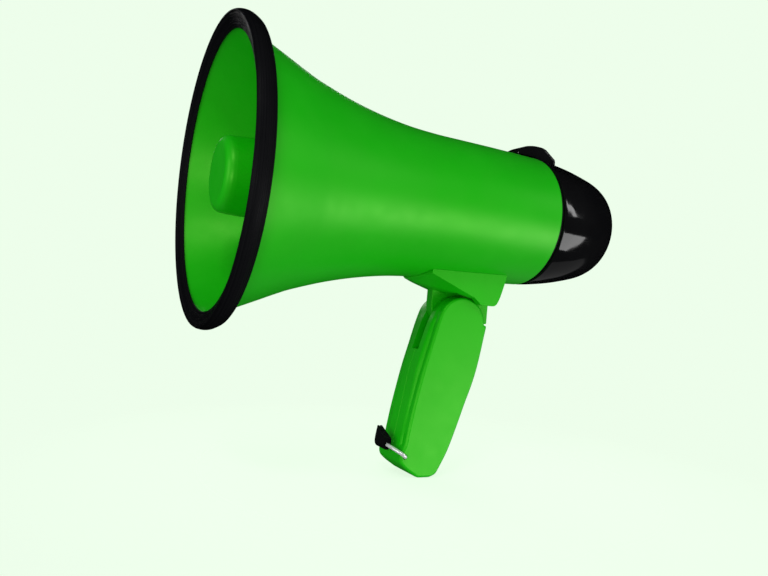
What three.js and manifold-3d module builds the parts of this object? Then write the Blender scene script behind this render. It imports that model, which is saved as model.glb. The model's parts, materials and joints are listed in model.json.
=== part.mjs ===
// Handheld megaphone with a folding pistol handle.
// Millimetres. The horn axis runs along X with the mouth at x = 0 facing -X, and +Z is up.
// All the pieces are laid out about the horn axis, and the last group lifts them onto their lowest point.
import * as THREE from "three";
import { mergeVertices } from "three/addons/utils/BufferGeometryUtils.js";
import Module from "manifold-3d";

const wasm = await Module();
wasm.setup();

// Driving dimensions
const GAP = 0.3; // clearance between neighbouring pieces
const TOTAL_LENGTH = 260;
const HANDLE_FOOT_Z = -157.8;
const ROUND = 32; // sides of the large turned pieces
const SMALL_ROUND = 12; // sides of the small turned pieces

const HORN_WALL = 2.4;
const HORN_START = 3; // the horn's edge sits inside the rim bumper
const HORN_END = 199.5;
const BELL_END = 95.7; // the bell and the barrel meet in front of the throat plate
const RIM_RADIUS = 80;
const RIM_DEPTH = 10.1;
const CUP_RADIUS = 21;
const CUP_WALL = 2;

const PLATE_X = 96; // front face of the throat plate
const PLATE_THICKNESS = 2.3;
const DRIVER_X = 98.3; // the driver's parts are counted back from the throat plate
const DRIVER_SCREW_RING = 28;
const DRIVER_ROUND = 22; // sides of the turned pieces inside

const BRACKET_SCREWS_X = [146, 168];
const HOLDER_FRONT = 139;
const HOLDER_BACK = 196.6;
const CELL_OFFSET = 14.2;
const CELL_RADIUS = 13.1;
const CELL_BODY = 48.5;
const NUB_LENGTH = 1.5;

const GRILLE_RADIUS = 12.6;
const SPIGOT_START = 190;
const SPIGOT_RADIUS = 37.4;
const POD_HALF = 8;
const WHEEL_X = 225;
const WHEEL_Y = 29.9;
const WHEEL_RADIUS = 9.2;
const BOSS_RING = 24;
const CAP_WALL = 2.2;
const CAP_START = 201.9;
const BOARD_X = 206;
const BOARD_RADIUS = 31;
const BOARD_THICKNESS = 1.6;

const PIVOT_X = 154;
const PIVOT_Z = -66;
const PIVOT_RADIUS = 3;
const NECK_HALF = 3.2;
const BRACKET_HALF = 19.5;
const HANDLE_BASE_HALF = 11;
const HANDLE_CHEEK_HALF = 13.8;
const HANDLE_WALL = 2.2;
const HANDLE_ARCH = 16;
const HANDLE_ARCH_Z = -67.8; // the arch at the handle's top is centred just below the pivot

const BAIL_X = 122.7; // the axis on which the wire bail swings
const BAIL_Z = -145.4;
const BAIL_BAR_X = 115; // the bail's crossbar
const BAIL_BAR_Z = -140.2;
const BAIL_HALF = 15.3;
const WIRE_RADIUS = 1.15;
const TAB_HALF = 5.5; // half the width of the strap's webbing

// Finishes
function finish(color, roughness, metalness = 0) {
  return new THREE.MeshStandardMaterial({ color, roughness, metalness });
}
const greenPlastic = finish(0x2fb41e, 0.38);
const blackPlastic = finish(0x0b0b0c, 0.12);
const blackRubber = finish(0x0a0a0b, 0.75);
const steel = finish(0xc9ccd0, 0.3, 1);
const brass = finish(0xc8a350, 0.35, 1);
const ferrite = finish(0x2b2b2d, 0.7);
const circuitGreen = finish(0x0d4a2a, 0.5);
const cellWrap = finish(0x1d2a4d, 0.4);
const webbing = finish(0x101012, 0.9);
const film = finish(0xd9b778, 0.4);

// Tools
function solidOf(geometry) {
  const bare = geometry.clone();
  bare.deleteAttribute("normal");
  bare.deleteAttribute("uv");
  const merged = mergeVertices(bare, 1e-4);
  return new wasm.Manifold(
    new wasm.Mesh({
      numProp: 3,
      vertProperties: merged.attributes.position.array,
      triVerts: new Uint32Array(merged.index.array),
    }),
  );
}

function geometryOf(solid) {
  const mesh = solid.getMesh();
  const geometry = new THREE.BufferGeometry();
  geometry.setAttribute("position", new THREE.BufferAttribute(mesh.vertProperties, 3));
  geometry.setIndex(new THREE.BufferAttribute(mesh.triVerts, 1));
  geometry.computeVertexNormals();
  return geometry;
}

function cut(base, ...tools) {
  return geometryOf(tools.reduce((left, tool) => left.subtract(solidOf(tool)), solidOf(base)));
}

function join(...pieces) {
  return geometryOf(pieces.map(solidOf).reduce((whole, piece) => whole.add(piece)));
}

// The convex solid round several pieces.
function hullOf(...pieces) {
  return geometryOf(wasm.Manifold.hull(pieces.map(solidOf)));
}

function points(pairs) {
  return pairs.map(([x, y]) => new THREE.Vector2(x, y));
}

// A closed [x, radius] outline turned about the X axis.
function turned(outline, sides = ROUND) {
  const profile = points(outline.map(([x, radius]) => [radius, x]));
  const onAxis = profile[0].x === 0 && profile.at(-1).x === 0;
  if (THREE.ShapeUtils.area(profile) < 0) profile.reverse();
  if (!onAxis) profile.push(profile[0].clone());
  return new THREE.LatheGeometry(profile, sides).rotateZ(-Math.PI / 2);
}

function tube(inner, outer, start, end, sides = SMALL_ROUND) {
  return turned([[start, inner], [end, inner], [end, outer], [start, outer]], sides);
}

function rod(radius, start, end, sides = SMALL_ROUND) {
  return turned([[start, 0], [start, radius], [end, radius], [end, 0]], sides);
}

// A rod along Y.
function crossRod(radius, start, end, sides = SMALL_ROUND) {
  return rod(radius, start, end, sides).rotateZ(Math.PI / 2);
}

// A block given by its two ends along each axis.
function block([x0, x1], [y0, y1], [z0, z1]) {
  const box = new THREE.BoxGeometry(x1 - x0, y1 - y0, z1 - z0);
  return box.translate((x0 + x1) / 2, (y0 + y1) / 2, (z0 + z1) / 2);
}

// An [x, z] outline pushed along Y from start to end. An edge radius rounds the face at y = end.
function slab(outline, start, end, edge = 0) {
  const settings = { depth: end - start - edge, bevelEnabled: edge > 0, bevelThickness: edge };
  Object.assign(settings, { bevelSize: edge, bevelOffset: -edge, bevelSegments: 3, steps: 1 });
  const body = new THREE.ExtrudeGeometry(new THREE.Shape(points(outline)), settings);
  body.rotateX(Math.PI / 2).translate(0, end - edge, 0);
  if (edge === 0) return body;
  return cut(body, block([-50, 400], [start - 20, start], [-300, 100]));
}

function circle(cx, cy, radius, count, from = 0, to = 2 * Math.PI) {
  const closed = Math.abs(to - from - 2 * Math.PI) < 1e-9;
  const steps = closed ? count : count - 1;
  return Array.from({ length: count }, (_, i) => {
    const angle = from + ((to - from) * i) / steps;
    return [cx + radius * Math.cos(angle), cy + radius * Math.sin(angle)];
  });
}

// Moves an outline inwards by the same distance all round.
function inset(outline, distance) {
  const sign = Math.sign(THREE.ShapeUtils.area(points(outline)));
  return outline.map(([x, y], i) => {
    const [ax, ay] = outline.at(i - 1);
    const [bx, by] = outline[(i + 1) % outline.length];
    const before = new THREE.Vector2(ay - y, x - ax).normalize();
    const after = new THREE.Vector2(y - by, bx - x).normalize();
    const normal = before.clone().add(after).normalize();
    const reach = (sign * distance) / Math.max(normal.dot(before), 0.5);
    return [x + reach * normal.x, y + reach * normal.y];
  });
}

function smooth(outline, count) {
  const curve = new THREE.SplineCurve(points(outline));
  return curve.getPoints(count).map((p) => [p.x, p.y]);
}

const megaphone = new THREE.Group();

function piece(name, geometry, material, parent = megaphone) {
  const mesh = new THREE.Mesh(geometry, material);
  mesh.name = name;
  parent.add(mesh);
  return mesh;
}

function group(x, y, z, parent = megaphone) {
  const made = new THREE.Group();
  made.position.set(x, y, z);
  parent.add(made);
  return made;
}

// Screw along X with its head at the origin's +X side, or at its -X side when turned.
function screw(shank, length, head, headHeight) {
  return turned([
    [-length, 0], [-length, shank], [0, shank], [0, head],
    [headHeight * 0.6, head], [headHeight, head * 0.6], [headHeight, 0],
  ], 12);
}

// Horn
const hornOuter = smooth([
  [HORN_START, 75.1], [10, 72.1], [19.5, 68.1], [29.3, 64], [39, 59.9], [48.5, 56.3], [67.8, 50.6],
  [87.1, 46.4], [106.4, 43.6], [125.7, 42.3], [145, 41.9], [170, 41.4], [HORN_END, 40.4],
], 14);

function hornRadius(x) {
  const next = hornOuter.findIndex(([px]) => px >= x);
  const [x0, r0] = hornOuter[Math.max(next - 1, 0)];
  const [x1, r1] = hornOuter[Math.max(next, 1)];
  return r0 + ((r1 - r0) * (x - x0)) / (x1 - x0);
}

// The part of the horn's outline from one place along the axis to another.
function hornBetween(from, to) {
  const between = hornOuter.filter(([x]) => x > from && x < to);
  return [[from, hornRadius(from)], ...between, [to, hornRadius(to)]];
}

function hornBell() {
  const outer = hornBetween(HORN_START, BELL_END);
  const inner = outer.map(([x, radius]) => [x, radius - HORN_WALL]);
  return turned([...outer, ...inner.reverse()]);
}

// The barrel, with a ledge inside for the throat plate and one for the battery holder.
function hornBarrel() {
  const outer = hornBetween(BELL_END + GAP, HORN_END);
  const wall = ([x, radius]) => [x, radius - HORN_WALL];
  const ledges = [[98.6, 101.6, 37], [136, 138.5, 31]];
  const clear = outer.filter(([x]) => ledges.every(([from, to]) => x < from - 1 || x > to + 1));
  const steps = ledges.flatMap(([from, to, radius]) => {
    return [wall([from, hornRadius(from)]), [from, radius], [to, radius], wall([to, hornRadius(to)])];
  });
  const inner = [...clear.map(wall), ...steps].sort(([x], [otherX]) => x - otherX);
  const screwHoles = BRACKET_SCREWS_X.map((x) => rod(1.7, 0, 60, 12).rotateY(Math.PI / 2).translate(x, 0, 0));
  return cut(turned([...outer, ...inner.reverse()]), ...screwHoles);
}

// Rubber ring that snaps over the horn's edge.
function rimBumper() {
  const outside = [
    [4.3, 70.5], [1.9, 70.8], [0.5, 71.7], [0, 73.1], [0, 77], [0.6, 78.7], [2, 79.7],
    [4, RIM_RADIUS], [7.2, RIM_RADIUS], [9.3, 79.3], [RIM_DEPTH, 78],
  ];
  const slot = [
    [RIM_DEPTH, hornRadius(RIM_DEPTH) + GAP + 0.1], [HORN_START - GAP, 75.6], [HORN_START - GAP, 72.2],
    [4.3, 71.6],
  ];
  return turned([...outside, ...slot]);
}

// Bullet-shaped cup, open at the back, that turns the sound round.
function reflectorCup() {
  const inside = CUP_RADIUS - CUP_WALL;
  return turned([
    [5, 0], [5, 16.3], [5.7, 18.9], [7.2, 20.5], [9.5, CUP_RADIUS], [88, CUP_RADIUS + 0.6],
    [88, inside + 0.6], [9.5, inside], [7.4, 17.6], [7, 15], [7, 0],
  ], DRIVER_ROUND);
}

// Bulkhead with the throat tube in front, three ribs for the cup and the driver's seat behind.
function throatPlate() {
  const back = PLATE_X + PLATE_THICKNESS;
  const body = turned([
    [28, 7], [28, 9.5], [90, 9.5], [PLATE_X - 1, 13], [PLATE_X, 14], [PLATE_X, 41.2], [back, 41.2],
    [back, 31.5], [back + 2.7, 31.5], [back + 2.7, 22], [back, 22], [back, 7],
  ], DRIVER_ROUND);
  const ribHeight = CUP_RADIUS - CUP_WALL - GAP;
  const ribs = [0, 1, 2].map((i) => {
    return block([34, 86], [-0.9, 0.9], [8, ribHeight]).rotateX((i * 2 * Math.PI) / 3);
  });
  return cut(join(body, ...ribs), ...driverScrewHoles(1.6, back + 0.8, back + 4));
}

const driverScrewTurns = [0, 1, 2].map((i) => Math.PI / 3 + (i * 2 * Math.PI) / 3);

function driverScrewHoles(radius, start, end) {
  return driverScrewTurns.map((angle) => {
    return rod(radius, start, end, 12).translate(0, 0, DRIVER_SCREW_RING).rotateX(angle);
  });
}

// Compression driver, counted in X from the throat plate's rear face.
function addDriver() {
  const driver = group(DRIVER_X, 0, 0);
  const dome = turned([
    [1.1, 0], [1.7, 7.5], [3, 12.4], [2.2, 15.5], [2.3, 19.5], [3, 22], [3, 31], [3.5, 31], [3.5, 22.3],
    [2.8, 19.5], [2.7, 15.5], [3.6, 13.2], [3.6, 12], [2.2, 7.3], [1.6, 0],
  ], DRIVER_ROUND);
  piece("diaphragm", cut(dome, ...driverScrewHoles(1.7, 2, 5)), film, driver);
  piece("voice_coil", tube(12.8, 13.2, 3.9, 9.6, DRIVER_ROUND), brass, driver);
  const topPlate = tube(13.7, 31, 3.9, 7.9, DRIVER_ROUND);
  piece("top_plate", cut(topPlate, ...driverScrewHoles(1.7, 3, 9)), steel, driver);
  piece("magnet_ring", tube(16, 25, 8.2, 18.2, DRIVER_ROUND), ferrite, driver);
  piece("pole_yoke", turned([
    [5, 0], [5, 12.3], [18.5, 12.3], [18.5, 24], [22.5, 24], [22.5, 0],
  ], DRIVER_ROUND), steel, driver);
  driverScrewTurns.forEach((angle, i) => {
    const body = screw(1.3, 6.6, 2.5, 1.8).translate(8.2, 0, DRIVER_SCREW_RING).rotateX(angle);
    piece(`driver_screw_${i + 1}`, body, steel, driver);
  });
}

// Battery cartridge: two discs on a crossed web, with four C cells between them.
const cellPlaces = [[1, 1], [-1, 1], [-1, -1], [1, -1]].map(([y, z]) => [y * CELL_OFFSET, z * CELL_OFFSET]);

function batteryHolder() {
  const front = rod(34.5, HOLDER_FRONT, HOLDER_FRONT + 2, DRIVER_ROUND);
  const back = rod(34.5, HOLDER_BACK, HOLDER_BACK + 2, DRIVER_ROUND);
  const core = block([HOLDER_FRONT + 1, HOLDER_BACK + 1], [-3, 3], [-3, 3]);
  const webLength = [HOLDER_FRONT + 4, HOLDER_BACK - 2];
  const upright = block(webLength, [-0.7, 0.7], [-26, 26]);
  const level = block(webLength, [-26, 26], [-0.7, 0.7]);
  const pinHoles = terminalCells.map((i) => {
    const [y, z] = cellPlaces[i];
    return rod(2.2, HOLDER_BACK - 1, HOLDER_BACK + 3).translate(0, y, z);
  });
  return cut(join(front, back, core, upright, level), ...pinHoles);
}

const terminalCells = [0, 3];
const cellFront = HOLDER_FRONT + 3;
const cellBack = HOLDER_BACK - 1;
const springHeight = cellBack - cellFront - CELL_BODY - NUB_LENGTH - GAP;

function cell() {
  return turned([
    [0, 0], [0, 3.2], [NUB_LENGTH, 3.2], [NUB_LENGTH, CELL_RADIUS - 1], [NUB_LENGTH + 0.8, CELL_RADIUS],
    [NUB_LENGTH + CELL_BODY - 0.8, CELL_RADIUS], [NUB_LENGTH + CELL_BODY, CELL_RADIUS - 1],
    [NUB_LENGTH + CELL_BODY, 0],
  ], 14);
}

// Conical contact spring, wide end at x = 0.
function cellSpring() {
  const wire = 0.4;
  const turns = 2.25;
  const steps = 20;
  const route = Array.from({ length: steps + 1 }, (_, i) => {
    const share = i / steps;
    const radius = 6 - 3 * share;
    const angle = share * turns * 2 * Math.PI;
    const x = wire + share * (springHeight - 2 * wire);
    return new THREE.Vector3(x, radius * Math.cos(angle), radius * Math.sin(angle));
  });
  const section = new THREE.Shape(points(circle(0, 0, wire, 6)));
  const path = new THREE.CatmullRomCurve3(route);
  return new THREE.ExtrudeGeometry(section, { steps, extrudePath: path, bevelEnabled: false });
}

function addBatteries() {
  piece("battery_holder", batteryHolder(), blackPlastic);
  cellPlaces.forEach(([y, z], i) => {
    const place = group(cellFront, y, z);
    const facesFront = i % 2 === 0;
    const battery = piece(`battery_cell_${i + 1}`, cell(), cellWrap, place);
    const spring = piece(`cell_spring_${i + 1}`, cellSpring(), steel, place);
    if (facesFront) {
      spring.position.x = cellBack - cellFront;
      spring.rotation.y = Math.PI;
    } else {
      battery.position.x = cellBack - cellFront;
      battery.rotation.y = Math.PI;
    }
  });
  const [frontStrip, backStrip] = [cellFront - GAP - 0.4, cellBack + GAP];
  const high = [CELL_OFFSET - 4, CELL_OFFSET + 4];
  const low = [-CELL_OFFSET - 4, -CELL_OFFSET + 4];
  const wide = [-CELL_OFFSET - 6, CELL_OFFSET + 6];
  piece("contact_strip_1", block([frontStrip, frontStrip + 0.4], wide, high), brass);
  piece("contact_strip_2", block([frontStrip, frontStrip + 0.4], wide, low), brass);
  piece("contact_strip_3", block([backStrip, backStrip + 0.4], low, wide), brass);
  piece("terminal_plate_1", block([backStrip, backStrip + 0.4], high, high), brass);
  piece("terminal_plate_2", block([backStrip, backStrip + 0.4], high, low), brass);
}

// Rear cap: dome with a control pod over the joint. The pod is hollow and open to the dome.
const capOuter = [
  [CAP_START, 40.2], [211.6, 39.3], [223.7, 37.5], [235.8, 34.9], [244, 32.6], [250, 29.6], [254.3, 25.6],
  [257.4, 20.6], [259.3, 16.4], [TOTAL_LENGTH, 13.6],
];
const podOutline = [
  [187.6, 36], [187.8, 42.4], [190.5, 44.6], [194.5, 46.7], [199, 47.9], [204, 48.3], [208.8, 48.1],
  [211.2, 47.3], [218.8, 42.2], [219.4, 40.6], [219.4, 36],
];
const podInside = [
  [189.6, 34], [189.8, 41.8], [191.6, 43], [195.2, 45], [199.4, 46.2], [204, 46.6], [207.6, 46.2],
  [216.4, 40.3], [216.4, 33], [204.6, 33], [204.6, 39], [202.2, 39], [202.2, 34],
];
const facet = { start: [211.2, 47.3], end: [218.8, 42.2] };
const facetSlope = Math.atan2(facet.end[1] - facet.start[1], facet.end[0] - facet.start[0]);
const facetCentre = [(facet.start[0] + facet.end[0]) / 2, (facet.start[1] + facet.end[1]) / 2];

// Places a piece made about the origin, with +Z out of the facet, on the pod's slanted facet.
function onFacet(geometry) {
  return geometry.rotateY(-facetSlope).translate(facetCentre[0], 0, facetCentre[1]);
}

// A slab with both faces rounded at the edge, centred on y = 0.
function plate(outline, half, edge) {
  return join(slab(outline, 0, half, edge), mirrored(slab(outline, 0, half, edge)));
}

// The mirror image across the plane y = 0.
function mirrored(geometry) {
  return geometryOf(solidOf(geometry).mirror([0, 1, 0]));
}

function rearCap() {
  const section = [...capOuter, [TOTAL_LENGTH, 0], [CAP_START, 0]];
  const inner = inset(section, CAP_WALL).slice(1, capOuter.length - 2).reverse();
  const shell = turned([
    [SPIGOT_START, SPIGOT_RADIUS], [CAP_START, SPIGOT_RADIUS],
    ...capOuter, [TOTAL_LENGTH, GRILLE_RADIUS + GAP],
    [257.9, GRILLE_RADIUS + GAP], [257.9, 10.9], [256, 10.9], [255.8, 15], ...inner,
    [CAP_START + 2.5, SPIGOT_RADIUS - 1.8], [SPIGOT_START, SPIGOT_RADIUS - 1.8],
  ]);
  const barrelRoom = rod(hornRadius(SPIGOT_START) + 0.5, SPIGOT_START - 20, CAP_START, ROUND);
  const podShell = cut(plate(podOutline, POD_HALF, 2.5), barrelRoom);
  const sides = [BOSS_RING, -BOSS_RING];
  const bosses = sides.map((z) => rod(2.8, BOARD_X + BOARD_THICKNESS + GAP, 252.8).translate(0, 0, z));
  const pilots = sides.map((z) => rod(1.5, BOARD_X, 216, 12).translate(0, 0, z));
  const podHollow = cut(plate(podInside, POD_HALF - 1.8, 1), rod(SPIGOT_RADIUS + 0.3, 180, 204.5, ROUND));
  const wheelSlot = block([WHEEL_X - 9, WHEEL_X + 9.8], [30, 45], [-2.6, 2.6]);
  const sliderPocket = onFacet(block([-2.9, 2.9], [-5.6, 5.6], [-1.4, 3]));
  const sliderSlot = onFacet(block([-1.3, 1.3], [-4.4, 4.4], [-6, 0]));
  return cut(join(shell, podShell, ...bosses), podHollow, ...pilots, wheelSlot, sliderPocket, sliderSlot);
}

function micGrille() {
  const disc = rod(GRILLE_RADIUS, 258.2, 259.7, 24);
  const rings = [[0, 1], [4.2, 6], [8.4, 12]];
  const holes = rings.flatMap(([radius, count]) => {
    return circle(0, 0, radius, count).map(([y, z]) => rod(1, 257, 261, 6).translate(0, y, z));
  });
  return cut(disc, ...holes);
}

function heatSink() {
  const fins = [0, 1, 2, 3, 4].flatMap((i) => {
    const z = -18 + i * 3.4;
    return [[215.2, z], [224, z], [224, z + 1.4], [215.2, z + 1.4]];
  });
  return slab([[212.7, -18], ...fins, [212.7, fins.at(-1)[1]]], -11, 11);
}

function volumePot() {
  const body = block([219, 230], [22, 31], [-8, -2.5]);
  const shaft = rod(2, -2.6, 2.1).rotateY(-Math.PI / 2).translate(WHEEL_X, WHEEL_Y, 0);
  const leg = block([BOARD_X + BOARD_THICKNESS + GAP, 220], [24, 29], [-7.5, -5.5]);
  return join(body, shaft, leg);
}

function volumeWheel() {
  const wheel = tube(2.4, WHEEL_RADIUS, -2.1, 2.1, DRIVER_ROUND).rotateY(-Math.PI / 2);
  return wheel.translate(WHEEL_X, WHEEL_Y, 0);
}

function addRearUnit() {
  piece("rear_cap", rearCap(), blackPlastic);
  piece("cap_seal", tube(SPIGOT_RADIUS + GAP, 39.3, HORN_END + GAP, CAP_START - GAP, ROUND), blackRubber);
  piece("mic_grille", micGrille(), blackPlastic);
  piece("mic_boot", turned([
    [247, 0], [247, 10.5], [257.5, 10.5], [257.5, 5.4], [249.3, 5.4], [249.3, 0],
  ], SMALL_ROUND), blackRubber);
  piece("mic_capsule", rod(5, 249.7, 256.5), steel);
  const board = rod(BOARD_RADIUS, BOARD_X, BOARD_X + BOARD_THICKNESS, DRIVER_ROUND);
  const sides = [BOSS_RING, -BOSS_RING];
  const boardHoles = sides.map((z) => rod(1.6, BOARD_X - 1, BOARD_X + 3, 12).translate(0, 0, z));
  piece("amplifier_board", cut(board, ...boardHoles), circuitGreen);
  sides.forEach((z, i) => {
    const body = screw(1.1, 9, 2.5, 1.8).rotateY(Math.PI).translate(BOARD_X - GAP, 0, z);
    piece(`board_screw_${i + 1}`, body, steel);
  });
  const onBoard = BOARD_X + BOARD_THICKNESS + GAP;
  piece("amplifier_chip", block([onBoard, 212.4], [-9, 9], [-17, -5]), blackPlastic);
  piece("heat_sink", heatSink(), steel);
  [[-15, 8], [-4, 14]].forEach(([y, z], i) => {
    piece(`filter_capacitor_${i + 1}`, rod(4, onBoard, 222).translate(0, y, z), cellWrap);
  });
  terminalCells.forEach((cellIndex, i) => {
    const [y, z] = cellPlaces[cellIndex];
    const tip = HOLDER_BACK;
    const pin = turned([[tip, 0], [tip, 1], [200, 1], [200, 2], [BOARD_X - GAP, 2], [BOARD_X - GAP, 0]], 12);
    piece(`contact_pin_${i + 1}`, pin.translate(0, y, z), brass);
  });
  piece("volume_pot", volumePot(), blackPlastic);
  piece("volume_wheel", volumeWheel(), blackPlastic);
  piece("mode_switch_body", onFacet(block([-2.6, 2.6], [-4.8, 4.8], [-8.4, -3.8])), steel);
  const knob = block([-2.6, 2.6], [-2.8, 2.8], [-1.1, 0.5]);
  const stem = block([-1, 1], [-1.4, 1.4], [-3.5, -1]);
  piece("mode_slider", onFacet(join(knob, stem)), blackPlastic);
}

// Bracket: a saddle under the barrel with the neck plate that the handle turns on. In front its underside
// slopes down from both side faces to a keel, and it's hollowed out round the top of the handle.
const SADDLE_TOP = -35; // inside the barrel, which is cut away from it
const SADDLE_STEP_X = 157.2; // the keeled front meets the flat-bottomed rear
const KEEL_HALF = 3;
const saddleFront = [
  [127.6, SADDLE_TOP], [127, -39.4], [134.5, -42.5], [147.8, -47.8], [SADDLE_STEP_X, -51.6],
];
const saddleKeel = [
  [121.2, SADDLE_TOP], [121.2, -42.5], [127.2, -45.6], [137.6, -48.7], [SADDLE_STEP_X, -53.2],
];
const saddleRear = [
  [SADDLE_STEP_X, SADDLE_TOP], [SADDLE_STEP_X, -51.6], [162.2, -55.4], [168.2, -55.7], [171.3, -54.2],
  [173.2, -51.6], [175.1, -47.7], [178, -41], [179.4, SADDLE_TOP],
];
const NECK_FRONT = 137.8;
const NECK_BACK = 178.7;
const NECK_TOP_Z = -41.5;
const NECK_FOOT_Z = -67;

function handleBracket() {
  const frontTop = [SADDLE_STEP_X, SADDLE_TOP];
  const front = hullOf(
    slab([...saddleFront, frontTop], -BRACKET_HALF, BRACKET_HALF),
    slab([...saddleKeel, frontTop], -KEEL_HALF, KEEL_HALF),
  );
  const saddle = join(front, slab(saddleRear, -BRACKET_HALF, BRACKET_HALF));
  const inside = HANDLE_CHEEK_HALF + 0.8;
  const recess = crossRod(HANDLE_ARCH + 1.6, -inside, inside, ROUND).translate(PIVOT_X, 0, PIVOT_Z);
  const round = circle(PIVOT_X, PIVOT_Z, 11.5, 10, Math.PI * 1.08, Math.PI * 1.97);
  const neck = slab([
    [NECK_FRONT, NECK_TOP_Z], [NECK_FRONT, -61], ...round, [165.6, NECK_FOOT_Z], [NECK_BACK, NECK_FOOT_Z],
    [NECK_BACK, NECK_TOP_Z],
  ], -NECK_HALF, NECK_HALF);
  const room = hornOuter.map(([x, radius]) => [x, radius + GAP]);
  const barrel = turned([[HORN_START, 0], ...room, [HORN_END, 0]]);
  const bore = crossRod(PIVOT_RADIUS + GAP, -10, 10);
  const pilots = BRACKET_SCREWS_X.map((x) => rod(1.6, 40, 51, 12).rotateY(Math.PI / 2).translate(x, 0, 0));
  return cut(join(cut(saddle, recess), neck), barrel, bore.translate(PIVOT_X, 0, PIVOT_Z), ...pilots);
}

function addBracket() {
  piece("handle_bracket", handleBracket(), greenPlastic);
  BRACKET_SCREWS_X.forEach((x, i) => {
    const seat = hornRadius(x) - HORN_WALL - 0.5;
    const body = screw(1.3, 11, 2.8, 1.8).rotateY(-Math.PI / 2).translate(x, 0, -seat);
    piece(`bracket_screw_${i + 1}`, body, steel);
  });
}

// Handle: two half shells with a rounded core and a raised cheek on each side.
const rearEdge = [
  [146.6, -152.4], [151.3, -143.3], [154.6, -134], [157.8, -124.5], [160.7, -115], [164.2, -105.4],
  [166.9, -96], [168.9, -86], [170.4, -76.5], [171.9, -67.8],
];
const foot = [
  [119.4, -146], [120.2, -149.3], [123.6, -152.4], [127.6, -155], [132, HANDLE_FOOT_Z],
  [140.4, HANDLE_FOOT_Z], [144, -156.2],
];
const archTop = circle(PIVOT_X, HANDLE_ARCH_Z, HANDLE_ARCH, 13, 0.02, Math.PI * 0.99);
const coreArch = circle(PIVOT_X, HANDLE_ARCH_Z, HANDLE_ARCH + 0.6, 11, 0.3, Math.PI * 0.92);
const cheekOutline = [
  ...foot, ...rearEdge, ...archTop, [136.6, -70], [133.4, -82.5], [129.6, -97], [124.9, -120.8],
  [122.9, -134], [122.2, -139.4], [120.4, -142.4],
];
const coreOutline = [
  ...foot, ...rearEdge.map(([x, z]) => [x - 0.8, z]), ...coreArch, [136.2, -67], [134, -74], [132, -81],
  [128.7, -93], [124.8, -117], [121.8, -136], [121, -140.4], [119.9, -143],
];
const handlePosts = [[150, -94], [141, -121], [134, -147]];

// The half on the +Y side. Its screws enter from outside; the other half has their pilot holes.
function handleHalf(takesHeads) {
  const start = GAP / 2;
  const body = join(
    slab(coreOutline, start, HANDLE_BASE_HALF, 4),
    slab(cheekOutline, start, HANDLE_CHEEK_HALF, 1.6),
  );
  const hollow = join(
    slab(inset(coreOutline, HANDLE_WALL), -5, HANDLE_BASE_HALF - HANDLE_WALL, 2.5),
    slab(inset(cheekOutline, HANDLE_WALL), -5, HANDLE_CHEEK_HALF - HANDLE_WALL, 1),
  );
  const reach = HANDLE_CHEEK_HALF - HANDLE_WALL + 0.5;
  const pivotBoss = crossRod(6, NECK_HALF + 4 * GAP + 0.2, reach).translate(PIVOT_X, 0, PIVOT_Z);
  const postRadius = takesHeads ? 4.4 : 3.2;
  const posts = handlePosts.map(([x, z]) => crossRod(postRadius, start, reach, 16).translate(x, 0, z));
  const holes = handlePosts.flatMap(([x, z]) => {
    const shank = crossRod(1.4, -5, takesHeads ? 10 : 9, 12).translate(x, 0, z);
    const head = crossRod(2.9, 7.9, 20, 16).translate(x, 0, z);
    return takesHeads ? [shank, head] : [shank];
  });
  const slotHalf = NECK_HALF + GAP;
  const slot = block([120, 190], [-5, slotHalf], [NECK_FOOT_Z - GAP, -40]);
  const slotFront = block([120, 146], [-5, slotHalf], [-84.5, -60]);
  const bore = crossRod(PIVOT_RADIUS + GAP, -5, 11.3).translate(PIVOT_X, 0, PIVOT_Z);
  const bailHole = crossRod(1.5, 10, 16, 12).translate(BAIL_X, 0, BAIL_Z);
  return cut(join(cut(body, hollow), pivotBoss, ...posts), ...holes, slot, slotFront, bore, bailHole);
}

function crossTube(inner, outer, start, end) {
  return tube(inner, outer, start, end).rotateZ(Math.PI / 2);
}

function addHandle() {
  piece("handle_shell_right", handleHalf(true), greenPlastic);
  piece("handle_shell_left", mirrored(handleHalf(false)), greenPlastic);
  piece("pivot_pin", crossRod(PIVOT_RADIUS, -11, 11).translate(PIVOT_X, 0, PIVOT_Z), steel);
  const washerStart = NECK_HALF + GAP;
  const washer = crossTube(PIVOT_RADIUS + GAP + 0.1, 7, washerStart, washerStart + 0.6);
  washer.translate(PIVOT_X, 0, PIVOT_Z);
  piece("pivot_washer_right", washer, steel);
  piece("pivot_washer_left", mirrored(washer), steel);
  handlePosts.forEach(([x, z], i) => {
    const body = screw(1.1, 14, 2.6, 1.8).rotateZ(Math.PI / 2).translate(x, 8.2, z);
    piece(`handle_screw_${i + 1}`, body, steel);
  });
}

// Wire loop whose ends turn into the foot of the handle, narrower at its crossbar.
function strapBail() {
  const reach = new THREE.Vector2(BAIL_BAR_X - BAIL_X, BAIL_BAR_Z - BAIL_Z);
  const barAt = reach.length();
  const half = [
    [barAt, 0], [barAt, 5], [barAt - 0.4, 7.6], [barAt - 2.2, 11.4], [4.8, 14.6], [3.2, BAIL_HALF],
    [1.6, BAIL_HALF], [0.4, BAIL_HALF - 0.7], [0, BAIL_HALF - 2], [0, 11.9],
  ].map(([along, y]) => {
    const share = along / barAt;
    return new THREE.Vector3(BAIL_X + reach.x * share, y, BAIL_Z + reach.y * share);
  });
  const other = half.slice(1).map((p) => new THREE.Vector3(p.x, -p.y, p.z));
  const path = new THREE.CatmullRomCurve3([...other.reverse(), ...half], false, "centripetal");
  const section = new THREE.Shape(points(circle(0, 0, WIRE_RADIUS, 8)));
  return new THREE.ExtrudeGeometry(section, { steps: 40, extrudePath: path, bevelEnabled: false });
}

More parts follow.
